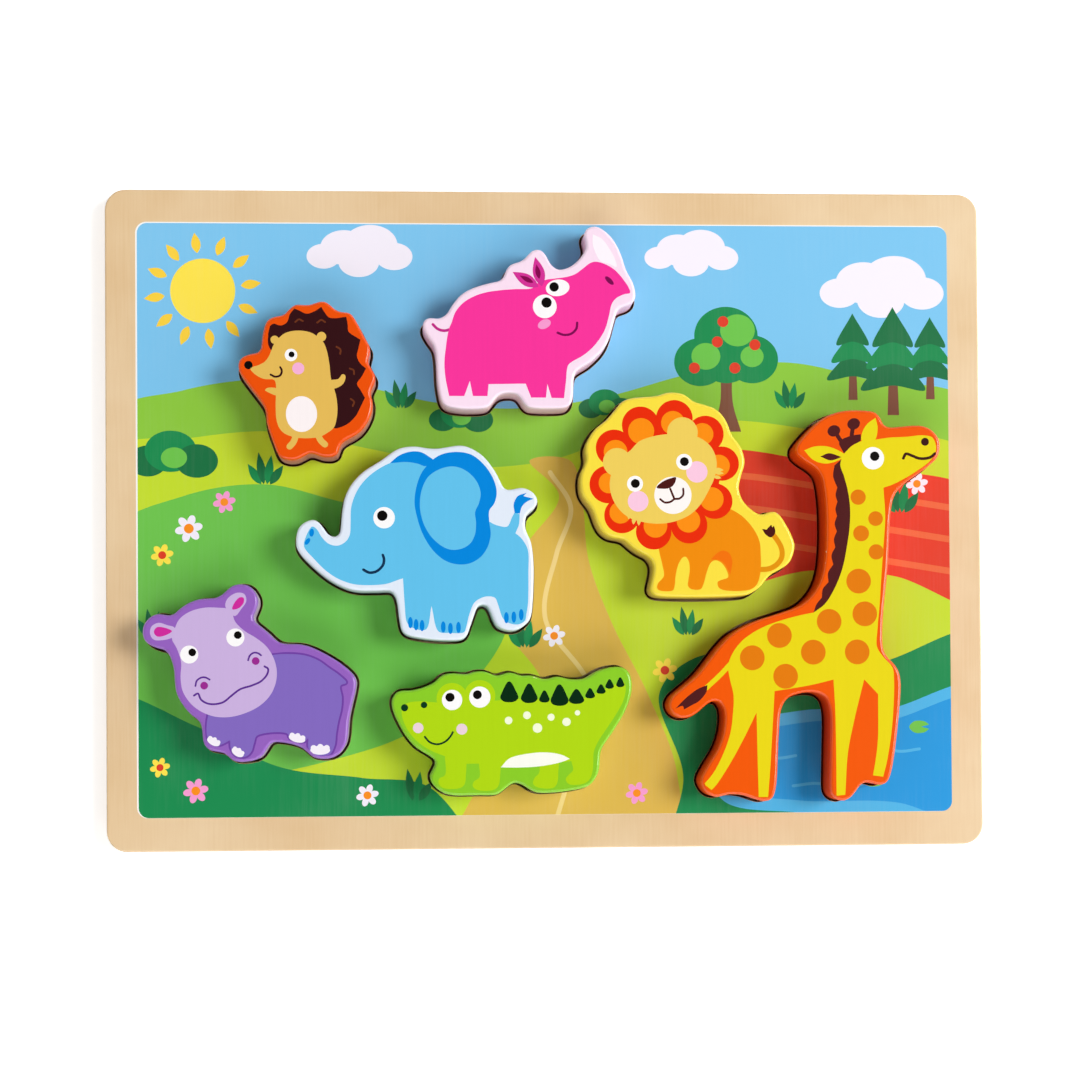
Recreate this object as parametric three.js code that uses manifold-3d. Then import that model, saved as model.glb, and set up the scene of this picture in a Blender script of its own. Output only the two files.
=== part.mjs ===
// Wooden puzzle: a picture board on a back panel, with seven chunky animals that lift out of their cut-outs.
// Millimetres, +Z up. The origin is at the middle of the underside.

import * as THREE from 'three';
import { mergeVertices } from 'three/addons/utils/BufferGeometryUtils.js';
import Module from 'manifold-3d';

// Driving dimensions
const boardLength = 300; // along X
const boardDepth = 225; // along Y
const boardCorner = 7; // radius of the four corners
const boardEase = 0.6; // sanded arris round both boards
const backThickness = 3; // plain panel that floors the cut-outs
const pictureThickness = 6; // cut board glued on the back panel
const animalThickness = 20; // stands proud of the picture for small hands
const animalRound = 1; // routed round-over along both edges of an animal
const cutClearance = 0.8; // gap all round between an animal and its cut-out
const drawnLength = 300; // length and depth of the board that the animals' places are drawn for
const drawnDepth = 225;

// How finely the curves are faceted
const cornerSteps = 6;
const roundSteps = 2;
const stepsPerKnot = 24;
const sandStep = 0.4; // between the points that sanding evens out
const sandReach = Math.ceil((1.2 * animalRound) / sandStep); // points to each side
const mostTurn = THREE.MathUtils.degToRad(18); // between neighbouring wall facets
const longestFacet = 26;

// Each animal: the paint of its rim, its place on the board and the knots of its smooth outline
const animals = [
  {
    name: 'hedgehog',
    colour: '#f95106',
    place: [-80.3, 44.7],
    knots: [
      [-23.4, 7.7], [-20, 9.7], [-17.5, 10], [-16.3, 11.3], [-15.6, 16.5], [-14.2, 20.8], [-12.5, 22],
      [-8.5, 23], [-6, 25.6], [-4.4, 26.4], [-0.5, 26.2], [4.9, 27.5], [9.4, 24.2], [13.6, 23.5],
      [16, 20], [16.8, 18], [19.8, 13], [20.3, 11], [19.4, 7.3], [21.9, 2.5], [21.8, 0.6],
      [20.2, -3], [21, -6.3], [20.2, -11], [16.8, -16.2], [10.4, -20.3], [8.8, -24.1], [4.6, -24.8],
      [0, -23.5], [-5, -25.8], [-10, -24.9], [-12.1, -20.5], [-14.2, -14.5], [-14.9, -9],
      [-17.2, -4.8], [-20.9, 0], [-23.6, 4],
    ],
  },
  {
    name: 'rhino',
    colour: '#f3b4d6',
    place: [-6.4, 66.6],
    knots: [
      [20.2, 30.9], [18.6, 29], [19.3, 24.2], [17, 20.3], [14.5, 18], [10, 16.5], [7.3, 18.3],
      [5.3, 21.9], [3.6, 23.3], [1.2, 23], [-2.3, 19.6], [-6.3, 18.2], [-7.6, 16.8], [-9.4, 13.1],
      [-14, 11.8], [-17.5, 10.9], [-23, 8], [-26.5, 3.8], [-28, 1.3], [-31, -0.2], [-33, 0.2],
      [-35, -0.3], [-36.1, -2.3], [-35.2, -5], [-32.6, -8.7], [-31.8, -11.5], [-31, -23],
      [-29.3, -28.8], [-25, -30.3], [-15.4, -30.3], [-13.6, -29.5], [-11, -26.2], [-9, -25.3], [-4.3, -25.6], [-2, -28.8],
      [-0.5, -30], [2, -30.3], [11.6, -30.2], [13.5, -29.2], [14.4, -27], [14.6, -23], [15.5, -18],
      [20, -15], [25.5, -9.5], [28.3, -2.5], [30, 3.2], [34.2, 5], [35.8, 6.8], [35.3, 11.5],
      [32.3, 17.5], [30.8, 22.5], [27.5, 28], [23, 31.2],
    ],
  },
  {
    name: 'elephant',
    colour: '#9fd2ee',
    place: [-44.2, -9.3],
    knots: [
      [-41, 0], [-39.8, 5.8], [-35.5, 8.2], [-33.3, 7.3], [-30.2, 3.2], [-28.1, 2.3], [-26.5, 3.3],
      [-25.7, 9], [-24.8, 15], [-21.8, 20.8], [-17, 25.3], [-12, 28.3], [-6.5, 32], [0, 32.7],
      [5, 31.9], [12, 32.9], [16, 32.8], [22, 29.3], [26.3, 23.5], [28.8, 18.6], [30, 18],
      [34.5, 18.8], [37.6, 17.9], [39.9, 15.3], [39.7, 12.7], [36.4, 9.6], [35.9, 5], [37.6, 1],
      [38.5, -5], [38.2, -20], [37, -26], [32, -29.3], [26.5, -28], [25, -25.5], [23.2, -21.2],
      [21.5, -20.4], [19.8, -21.1], [17.8, -26], [16, -31], [14.5, -32.2], [11, -32.5], [1, -31.8],
      [-5.3, -29.8], [-6.8, -24], [-7.2, -20], [-9, -16], [-14, -15.8], [-22, -15.5], [-30, -12],
      [-37.5, -5.5], [-40, -2.8],
    ],
  },
  {
    name: 'lion',
    colour: '#fee44a',
    place: [46.3, 6.5],
    knots: [
      [-35.5, 8.5], [-34.3, 10.8], [-33.8, 13.5], [-34.2, 16.5], [-31.3, 22.3], [-26, 26.8],
      [-22.3, 31.5], [-19.5, 33], [-10, 34], [-6, 35.2], [-0.5, 34.5], [2, 32.5], [5, 31.3],
      [9, 30.2], [12, 28], [13.8, 25.3], [16, 20], [18.3, 17.3], [19.9, 11.5], [18.2, 5.5],
      [17.8, 2.5], [19.5, -2], [25, -6.2], [28.5, -5.2], [30.3, -5.3], [31.8, -6.5], [36, -14],
      [36.7, -17], [34.8, -22.5], [29.5, -26], [27.5, -27.3], [26, -29.5], [21.5, -33],
      [18.5, -33.7], [-9, -33.8], [-11.3, -33.2], [-12.5, -31.5], [-11.5, -26.5], [-11.2, -24],
      [-12, -21.5], [-14, -19.7], [-17, -18.3], [-21.5, -14.5], [-25, -13.9], [-27.8, -12.5],
      [-29.8, -10], [-32, -4.2], [-35.6, 1.5],
    ],
  },
  {
    name: 'hippo',
    colour: '#9760cc',
    place: [-100.4, -51.8],
    knots: [
      [-35.3, 15.8], [-31.5, 19.2], [-26, 18.9], [-22.5, 21.8], [-17, 24.2], [-10.8, 24.8],
      [-5.5, 28.8], [-0.5, 28.6], [2.4, 24.5], [2.3, 21.8], [0.8, 17.6], [6.5, 12.3], [8.5, 10.2],
      [10.5, 9.3], [18, 8.7], [25.5, 5.3], [31.5, 1.3], [35, -2.9], [34.2, -9], [32.5, -17],
      [31.6, -24.5], [27.8, -28.8], [21, -29], [17, -25.7], [11.5, -24], [6.8, -23.9], [4.2, -27.5],
      [2.3, -29.3], [-4.5, -30.2], [-7, -29], [-8.7, -27.3], [-13.5, -26.3], [-15.3, -24.8],
      [-16, -22.5], [-16.8, -17], [-21, -13.2], [-24.7, -7], [-25.4, 0.5], [-27.2, 6], [-29, 7.5],
      [-31.5, 8], [-35.3, 10.8],
    ],
  },
  {
    name: 'crocodile',
    colour: '#84ce2c',
    place: [-12.8, -72.6],
    knots: [
      [-40.8, 9.5], [-40.3, 12], [-38.5, 13.8], [-33.5, 14.2], [-31, 14.8], [-26.5, 16.7],
      [-25, 18.3], [-22.8, 19.5], [-20, 19.8], [-15.3, 19.4], [-13.3, 20.2], [-8.8, 20.2],
      [-7, 19.2], [-5, 18.9], [-1, 20], [2.8, 18.8], [6.5, 18.9], [10.3, 17.6], [15, 18.5],
      [19.3, 17.5], [24.5, 17.9], [29.3, 20.6], [35, 21.7], [37.5, 21.2], [39.3, 19.5], [40, 13.5],
      [37.2, 5.5], [34.8, 1.5], [30, -5.3], [29.2, -8], [28.6, -13.8], [25.5, -18.2], [18, -20],
      [8.5, -20.6], [6, -19.8], [1.8, -17.3], [-0.5, -17.3], [-4.3, -20.3], [-6.5, -21.2],
      [-11, -21.2], [-23, -20.6], [-27.6, -16.8], [-28, -14.5], [-26.2, -11], [-26.3, -9.4],
      [-30.5, -6.5], [-33.5, -4.3], [-38, 2],
    ],
  },
  {
    name: 'giraffe',
    colour: '#f57c10',
    place: [85.4, -30.7],
    knots: [
      [-1.7, 52], [-1.5, 54.2], [2.8, 59.5], [7, 63.3], [13.5, 66], [22, 66.3], [25.5, 65.7],
      [27.2, 64], [28, 62], [29.5, 60.7], [33, 60.7], [41, 61.2], [44.8, 59.7], [47.5, 56],
      [46.8, 50.5], [40.5, 45], [33.8, 40], [31.2, 35.5], [30, 20], [27.3, -12], [28.2, -16.4],
      [31.8, -20.5], [33.3, -24.5], [32.6, -38], [30.8, -52], [29.6, -57.5], [28.3, -60],
      [26, -60.8], [21.5, -59.8], [19.3, -60.7], [16.5, -64.4], [13.8, -66], [11, -65.5],
      [9.3, -63.5], [9, -60], [9.5, -44], [9.2, -35], [7.8, -31.2], [4.5, -29.4], [-1, -29.6],
      [-5.5, -31.4], [-7.6, -35.5], [-8.5, -46], [-9.7, -62.5], [-11, -65.2], [-13.6, -66],
      [-20, -64], [-25.5, -63.5], [-30, -64.4], [-33, -63], [-35, -59], [-33.8, -55.8],
      [-29.8, -49.5], [-27.2, -42.5], [-26.8, -35.5], [-28.2, -32.6], [-30.5, -32], [-33, -33.2],
      [-37, -36.6], [-41, -37.8], [-44.3, -36.2], [-45.6, -33], [-43.8, -29.7], [-38, -25.2],
      [-31.8, -18.2], [-25.8, -10.8], [-17.8, -5.8], [-7, -2.2], [-1, 0], [4, 4.5], [6.9, 10.5],
      [8.2, 19], [8.4, 31], [7.7, 40.5], [6.4, 45], [3.5, 47.8], [0.4, 49.7],
    ],
  },
];

const wasm = await Module();
wasm.setup();

// Solids for joining and cutting
function toSolid(geometry) {
  const bare = geometry.clone();
  bare.deleteAttribute('normal');
  bare.deleteAttribute('uv');
  const merged = mergeVertices(bare, 1e-4);
  return new wasm.Manifold(
    new wasm.Mesh({
      numProp: 3,
      vertProperties: new Float32Array(merged.attributes.position.array),
      triVerts: new Uint32Array(merged.index.array),
    }),
  );
}

function toGeometry(solid) {
  const mesh = solid.getMesh();
  const geometry = new THREE.BufferGeometry();
  geometry.setAttribute('position', new THREE.BufferAttribute(mesh.vertProperties, 3));
  geometry.setIndex(new THREE.BufferAttribute(mesh.triVerts, 1));
  geometry.computeVertexNormals();
  return geometry;
}

// A smooth closed curve through the knots, sanded so that no bend is sharper than the round-over can follow,
// anticlockwise, with its points closer where it bends
function smoothOutline(knots) {
  const curve = new THREE.CatmullRomCurve3(
    knots.map(([x, y]) => new THREE.Vector3(x, y, 0)),
    true,
    'centripetal',
  );
  curve.arcLengthDivisions = knots.length * stepsPerKnot;
  const sawn = curve.getSpacedPoints(Math.round(curve.getLength() / sandStep)).slice(0, -1);
  const fine = sawn.map((point, i) => {
    const mean = new THREE.Vector2();
    for (let k = -sandReach; k <= sandReach; k += 1) {
      mean.add(sawn.at((i + k) % sawn.length));
    }
    return mean.divideScalar(2 * sandReach + 1);
  });
  const bends = fine.map((point, i) => {
    const before = point.clone().sub(fine.at(i - 1));
    const after = fine[(i + 1) % fine.length].clone().sub(point);
    const turn = Math.abs(Math.atan2(before.cross(after), before.dot(after)));
    return turn / mostTurn + before.length() / longestFacet;
  });
  const total = bends.reduce((sum, bend) => sum + bend, 0);
  const count = Math.ceil(total);
  let sum = 0;
  const kept = fine.filter((point, i) => {
    const before = Math.floor((sum / total) * count);
    sum += bends[i];
    return Math.floor((sum / total) * count) > before;
  });
  return THREE.ShapeUtils.isClockWise(kept) ? kept.reverse() : kept;
}

// The same outline moved outwards, square to itself, by a distance
function grownOutline(outline, distance) {
  return outline.map((point, i) => {
    const along = outline[(i + 1) % outline.length].clone().sub(outline.at(i - 1)).normalize();
    return new THREE.Vector2(point.x + along.y * distance, point.y - along.x * distance);
  });
}

// A plate of one outline with both edges rounded over, its underside at z = 0
function plate(shape, thickness, round, steps) {
  const geometry = new THREE.ExtrudeGeometry(shape, {
    depth: thickness - 2 * round,
    curveSegments: cornerSteps,
    bevelEnabled: round > 0,
    bevelThickness: round,
    bevelSize: round,
    bevelOffset: -round,
    bevelSegments: steps,
  });
  return geometry.translate(0, 0, round);
}

function boardShape() {
  const x = boardLength / 2 - boardCorner;
  const y = boardDepth / 2 - boardCorner;
  const quarter = Math.PI / 2;
  const shape = new THREE.Shape();
  shape.absarc(x, y, boardCorner, 0, quarter);
  shape.absarc(-x, y, boardCorner, quarter, 2 * quarter);
  shape.absarc(-x, -y, boardCorner, 2 * quarter, 3 * quarter);
  shape.absarc(x, -y, boardCorner, 3 * quarter, 4 * quarter);
  shape.closePath();
  return shape;
}

// Where an animal stands on a board of this size
function placeOf(animal) {
  const [x, y] = animal.place;
  return new THREE.Vector2((x * boardLength) / drawnLength, (y * boardDepth) / drawnDepth);
}

function paintedWood(colour, roughness) {
  return new THREE.MeshStandardMaterial({ color: colour, roughness, metalness: 0 });
}

function addMesh(group, name, geometry, material, x, y, z) {
  const mesh = new THREE.Mesh(geometry, material);
  mesh.name = name;
  mesh.position.set(x, y, z);
  group.add(mesh);
}

// Back panel
function backPanel() {
  return plate(boardShape(), backThickness, boardEase, 1);
}

// Picture board, cut through for every animal
function pictureBoard(outlines) {
  let board = toSolid(plate(boardShape(), pictureThickness, boardEase, 1));
  animals.forEach((animal, i) => {
    const place = placeOf(animal);
    const shape = new THREE.Shape(grownOutline(outlines[i], cutClearance));
    const cutter = plate(shape, 3 * pictureThickness, 0, 1);
    cutter.translate(place.x, place.y, -pictureThickness);
    board = board.subtract(toSolid(cutter));
  });
  return toGeometry(board);
}

// Animal, sawn from thick board and rounded over
function animalPiece(outline) {
  return plate(new THREE.Shape(outline), animalThickness, animalRound, roundSteps);
}

const puzzle = new THREE.Group();
const outlines = animals.map((animal) => smoothOutline(animal.knots));
addMesh(puzzle, 'back_panel', backPanel(), paintedWood('#dfc398', 0.7), 0, 0, 0);
addMesh(puzzle, 'picture_board', pictureBoard(outlines), paintedWood('#e8c9a0', 0.55), 0, 0, backThickness);
animals.forEach((animal, i) => {
  const place = placeOf(animal);
  const material = paintedWood(animal.colour, 0.4);
  addMesh(puzzle, animal.name, animalPiece(outlines[i]), material, place.x, place.y, backThickness);
});

export default puzzle;
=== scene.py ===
import math
from functools import partial
import bpy
import bmesh
import numpy as np
from mathutils import Matrix, Vector
from mathutils.geometry import delaunay_2d_cdt


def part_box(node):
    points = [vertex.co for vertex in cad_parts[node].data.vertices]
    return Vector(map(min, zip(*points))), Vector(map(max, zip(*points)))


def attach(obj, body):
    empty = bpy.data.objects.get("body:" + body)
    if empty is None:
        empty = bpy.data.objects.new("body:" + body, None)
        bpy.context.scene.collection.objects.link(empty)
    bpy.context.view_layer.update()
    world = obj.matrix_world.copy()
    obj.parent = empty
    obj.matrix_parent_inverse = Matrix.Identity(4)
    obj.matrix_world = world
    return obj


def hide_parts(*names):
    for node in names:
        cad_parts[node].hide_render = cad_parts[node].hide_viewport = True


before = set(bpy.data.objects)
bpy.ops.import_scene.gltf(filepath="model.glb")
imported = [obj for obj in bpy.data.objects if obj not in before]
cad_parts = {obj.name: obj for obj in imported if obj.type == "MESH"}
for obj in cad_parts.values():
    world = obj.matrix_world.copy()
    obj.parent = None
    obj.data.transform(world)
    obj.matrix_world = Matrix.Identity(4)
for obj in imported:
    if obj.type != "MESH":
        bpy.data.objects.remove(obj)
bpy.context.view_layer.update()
scene = bpy.context.scene
mm = 0.001
print("frame: %d solids" % len(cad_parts))


def linear(hexColour):
    parts = [int(hexColour[i:i + 2], 16) / 255 for i in (1, 3, 5)]
    return [p / 12.92 if p <= 0.04045 else ((p + 0.055) / 1.055) ** 2.4 for p in parts] + [1.0]


def linkNode(node, links):  # a source given as a node stands for its first output in use
    for key, source in links.items():
        if isinstance(source, bpy.types.Node):
            source = next(socket for socket in source.outputs if socket.enabled)
        node.id_data.links.new(source, node.inputs[key])


def addNode(tree, kind, settings=None, links=None):
    node = tree.nodes.new("ShaderNode" + kind)
    for key, value in (settings or {}).items():
        if isinstance(key, str) and hasattr(node, key):
            setattr(node, key, value)
        else:
            node.inputs[key].default_value = value
    linkNode(node, links or {})
    return node


# Plan drawing, in mm. A knot with a third value is a sharp corner of its curve
def curveThrough(knots, closed=True, pace=0.5):
    count = len(knots)
    spots = [Vector(k[:2]) for k in knots]
    sharp = [len(k) > 2 for k in knots]
    if not closed:
        sharp[0] = sharp[-1] = True
    drawn = []
    for i in range(count if closed else count - 1):
        j = (i + 1) % count
        b, c = spots[i], spots[j]
        a = 2 * b - c if sharp[i] else spots[i - 1]
        d = 2 * c - b if sharp[j] else spots[(i + 2) % count]
        t1 = (b - a).length ** 0.5
        t2 = t1 + (c - b).length ** 0.5
        t3 = t2 + (d - c).length ** 0.5
        steps = max(2, math.ceil((c - b).length / pace))
        for step in range(steps):
            t = t1 + (t2 - t1) * step / steps
            ab = a.lerp(b, t / t1)
            bc = b.lerp(c, (t - t1) / (t2 - t1))
            cd = c.lerp(d, (t - t2) / (t3 - t2))
            abc = ab.lerp(bc, t / t2)
            bcd = bc.lerp(cd, (t - t1) / (t3 - t1))
            drawn.append(abc.lerp(bcd, (t - t1) / (t2 - t1)))
    if not closed:
        drawn.append(spots[-1])
    return drawn


def around(x, y, radius, degrees):  # a spot on a circle
    a = math.radians(degrees)
    return x + radius * math.cos(a), y + radius * math.sin(a)


def placed(knots, x, y, wide, high=None):  # a small motif's knots, scaled and set in place
    return [(x + k[0] * wide, y + k[1] * (high or wide), *k[2:]) for k in knots]


# Inks: the name of a colour and the loop that it fills
def shape(tint, knots):
    return tint, curveThrough(knots)


def oval(tint, x, y, rx, ry=None, tilt=0):
    ry = ry or rx
    count = max(20, math.ceil(2 * math.pi * max(rx, ry) / 0.4))  # a corner every 0.4 mm
    cos, sin = around(0, 0, 1, tilt)
    loop = []
    for i in range(count):
        a = 2 * math.pi * i / count
        u, v = rx * math.cos(a), ry * math.sin(a)
        loop.append(Vector((x + u * cos - v * sin, y + u * sin + v * cos)))
    return tint, loop


def eye(x, y, radius, pupilX, pupilY, pupil):
    return oval("eyeWhite", x, y, radius), oval("eyeBlack", pupilX, pupilY, pupil)


def brush(tint, width, knots):  # a line with round ends
    path = curveThrough(knots, False)
    half = width / 2
    left, right = [], []
    for i, spot in enumerate(path):
        along = (path[min(i + 1, len(path) - 1)] - path[max(i - 1, 0)]).normalized()
        across = along.orthogonal() * half
        left.append(spot + across)
        right.append(spot - across)

    def cap(end, before):
        tip = (end - before).normalized() * half
        return [end + Matrix.Rotation(math.radians(a), 2) @ tip for a in (60, 30, 0, -30, -60)]

    return tint, left + cap(path[-1], path[-2]) + right[::-1] + cap(path[0], path[1])


def leaf(tint, base, tip, half):
    base, tip = Vector(base), Vector(tip)
    across = (tip - base).normalized().orthogonal() * half
    rows = [(i / 12, math.sin(math.pi * (i / 12) ** 0.85)) for i in range(13)]  # fullest a little below the middle
    one = [base.lerp(tip, s) + across * full for s, full in rows]
    other = [base.lerp(tip, s) - across * full for s, full in rows[-2:0:-1]]
    return tint, one + other


def roundedLoop(low, high, radius, steps=10):
    left, bottom, right, top = low.x + radius, low.y + radius, high.x - radius, high.y - radius
    loop = []
    for x, y, first in ((right, top, 0), (left, top, 90), (left, bottom, 180), (right, bottom, 270)):
        loop += [Vector(around(x, y, radius, first + 90 * step / steps)) for step in range(steps + 1)]
    return loop


def within(spots, loop):  # which spots lie inside the loop, by winding
    ring = np.array([p[:] for p in loop])
    after = np.roll(ring, -1, axis=0)
    near = np.flatnonzero(((spots >= ring.min(0)) & (spots <= ring.max(0))).all(axis=1))
    x, y = spots[near, 0:1], spots[near, 1:2]
    side = (after[:, 0] - ring[:, 0]) * (y - ring[:, 1]) - (x - ring[:, 0]) * (after[:, 1] - ring[:, 1])
    up = (ring[:, 1] <= y) & (after[:, 1] > y) & (side > 0)
    down = (ring[:, 1] > y) & (after[:, 1] <= y) & (side < 0)
    held = np.zeros(len(spots), bool)
    held[near] = (up.sum(1) - down.sum(1)) != 0
    return held


# Cuts a flat face along the edges of every ink, and says which ink each triangle carries
def cutFace(outline, holes, inkLoops, limit):
    spots, edges = [], []
    for loop in [outline] + holes + inkLoops:
        first = len(spots)
        spots += loop
        edges += [(first + i, first + (i + 1) % len(loop)) for i in range(len(loop))]
    cut = delaunay_2d_cdt(spots, edges, [], 0, 0.0005)  # spots nearer than this, in mm, are one
    flat, faces = np.array([p[:] for p in cut[0]]), cut[2]
    middles = flat[np.array(faces)].mean(axis=1)
    kept = within(middles, outline)
    for hole in holes:
        kept &= ~within(middles, hole)
    carried = np.full(len(faces), -1)
    allowed = within(middles, limit) if limit else np.ones(len(faces), bool)
    for i, loop in enumerate(inkLoops):
        carried[within(middles, loop) & (allowed | (i == 0))] = i  # the first ink may pass the limit
    return flat, [(faces[i], int(carried[i])) for i in np.flatnonzero(kept)]


# Loops of a CAD solid at one level, in mm: every edge there, or the border of the faces that look up
def planLoops(node, level, faced):
    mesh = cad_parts[node].data
    near, facingUp = 0.05 * mm, 0.9
    counts = {}
    for polygon in mesh.polygons:
        ring = [mesh.vertices[i].co for i in polygon.vertices]
        if faced and polygon.normal.z < facingUp:
            continue
        for p, q in zip(ring, ring[1:] + ring[:1]):
            if abs(p.z - level) < near and abs(q.z - level) < near:
                a, b = (round(p.x, 6), round(p.y, 6)), (round(q.x, 6), round(q.y, 6))
                if a != b:
                    counts[frozenset((a, b))] = counts.get(frozenset((a, b)), 0) + 1
    beside = {}
    for edge, count in counts.items():
        if count == 1 or not faced:
            a, b = edge
            beside.setdefault(a, []).append(b)
            beside.setdefault(b, []).append(a)
    loops = []
    while beside:
        start = min(beside)
        loop, here = [start], beside.pop(start)[0]
        while here in beside:
            loop.append(here)
            here = next((n for n in beside.pop(here) if n in beside), None)
        area = sum(p[0] * q[1] - p[1] * q[0] for p, q in zip(loop, loop[1:] + loop[:1]))
        loop = loop if area > 0 else loop[::-1]
        loops.append([Vector((p[0] / mm, p[1] / mm)) for p in loop])
    return loops


def wallSpan(node):  # bottom and top of the straight wall, between the round-overs
    levels = sorted({round(v.co.z, 6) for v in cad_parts[node].data.vertices})
    gaps = [b - a for a, b in zip(levels, levels[1:])]
    widest = gaps.index(max(gaps))
    return levels[widest], levels[widest + 1]


def movedIn(loop, distance):  # an anticlockwise loop, drawn in from its edge
    count = len(loop)
    moved = []
    for i in range(count):
        along = (loop[(i + 1) % count] - loop[i - 1]).normalized()
        moved.append(loop[i] + along.orthogonal() * distance)
    return moved


outlinePace = 0.6  # mm between the corners of a finer outline


def roundOver(outline, wallEnd, inward, upward, angles):  # rings of (loop, height) from a wall's end, radii in mm
    rings = []
    for degrees in angles:
        cos, sin = around(0, 0, 1, degrees)
        rings.append((movedIn(outline, inward * (1 - cos)), wallEnd + upward * mm * sin))
    return rings


class Sheets:  # gathers the faces of one piece, with the ink and material of each
    def __init__(self):
        self.bm = bmesh.new()
        self.ink = self.bm.loops.layers.float_color.new("ink")

    def addFace(self, corners, colour, material, smooth):
        try:
            face = self.bm.faces.new(corners)
        except ValueError:  # the face is there already
            return
        face.material_index = material
        face.smooth = smooth
        for corner in face.loops:
            corner[self.ink] = colour

    def addWall(self, rings, colour, material):  # rings from below up for an outside wall
        rows = [[self.bm.verts.new((p.x * mm, p.y * mm, z)) for p in loop] for loop, z in rings]
        for low, high in zip(rows, rows[1:]):
            for i in range(len(low)):
                j = (i + 1) % len(low)
                self.addFace((low[i], low[j], high[j], high[i]), colour, material, True)

    def addFlat(self, ring, colour, material, up=True, holes=(), inks=(), inkMaterial=0, limit=None):
        outline, z = ring
        flat, faces = cutFace(outline, list(holes), [loop for loop, tint in inks], limit)
        verts = {}
        for corners, carried in faces:
            for i in corners:
                if i not in verts:
                    verts[i] = self.bm.verts.new((flat[i][0] * mm, flat[i][1] * mm, z))
            face = [verts[i] for i in (corners if up else corners[::-1])]
            tint = colour if carried < 0 else inks[carried][1]
            self.addFace(face, tint, material if carried < 0 else inkMaterial, False)

    def finish(self, name, materials, body, node):
        bmesh.ops.remove_doubles(self.bm, verts=self.bm.verts, dist=0.0008 * mm)  # joins walls and flats
        mesh = bpy.data.meshes.new(name)
        self.bm.to_mesh(mesh)
        self.bm.free()
        for material in materials:
            mesh.materials.append(material)
        piece = bpy.data.objects.new(name, mesh)
        scene.collection.objects.link(piece)
        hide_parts(node)
        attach(piece, body)
        print("%s: %d faces" % (name, len(mesh.polygons)))


def startMaterial(name, settings):  # settings that hold all over the surface
    material = bpy.data.materials.new(name)
    material.use_nodes = True
    shader = material.node_tree.nodes["Principled BSDF"]
    for key, value in settings.items():
        shader.inputs[key].default_value = value
    return material, shader, partial(addNode, material.node_tree)


wood = {
    "pale": "#EED3AB", "deep": "#DFBB8A",  # basswood veneer, early and late growth
    "streakWidth": 0.9, "streakLength": 26,  # mm, the fine grain
    "bandWidth": 36,  # mm, slow change of tone across the sheet
    "knot": "#8A5A30", "knotSpacing": 34, "knotSize": 0.45,  # mm, pin knots
    "plyPale": "#E6C896", "plyDark": "#A97C4A", "plyLayer": 1.5,  # mm, glued layers at an edge
    "waver": 0.25, "waverLength": 8,  # mm, how far a layer wanders, and over what length
    "fibreWidth": 0.7, "fibreHeight": 0.35,  # mm, end grain
}


def fineGrain(add, where):  # streaks along the board's depth
    across, along = 1 / (wood["streakWidth"] * mm), 1 / (wood["streakLength"] * mm)
    stretch = add("Mapping", {"Scale": (across, along, across)}, {"Vector": where})
    return add("TexNoise", {"Scale": 1.0, "Detail": 5.0, "Roughness": 0.6}, {"Vector": stretch})


# Basswood plywood, sanded and clear lacquered: pale, close-grained, a soft sheen, a few pin knots
def lacqueredPly():
    material, shader, add = startMaterial("basswoodPlyLacquered", {"Coat Weight": 0.15, "Coat Roughness": 0.35})
    where = add("TexCoord").outputs["Object"]
    grain = fineGrain(add, where)
    bands = add("TexNoise", {"Scale": 1 / (wood["bandWidth"] * mm), "Detail": 3.0}, {"Vector": where})
    both = add("Math", {"operation": "MULTIPLY_ADD", 1: 0.4}, {0: grain, 2: bands})
    tone = add("MapRange", {"From Min": 0.4, "From Max": 1.0}, {"Value": both})
    growth = {"data_type": "RGBA", 6: linear(wood["pale"]), 7: linear(wood["deep"])}
    face = add("Mix", growth, {0: tone})
    dots = add("TexVoronoi", {"Scale": 1 / (wood["knotSpacing"] * mm)}, {"Vector": where})
    size = wood["knotSize"] / wood["knotSpacing"]
    edge = {"From Min": 0.6 * size, "From Max": 1.3 * size, "To Min": 0.75, "To Max": 0.0}
    knot = add("MapRange", edge, {"Value": dots})
    knotted = add("Mix", {"data_type": "RGBA", 7: linear(wood["knot"])}, {0: knot, 6: face})
    gloss = add("MapRange", {"To Min": 0.42, "To Max": 0.58}, {"Value": grain})
    relief = add("Bump", {"Strength": 0.25, "Distance": 0.03 * mm}, {"Height": grain})
    linkNode(shader, {"Base Color": knotted, "Roughness": gloss, "Normal": relief})
    return material


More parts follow.
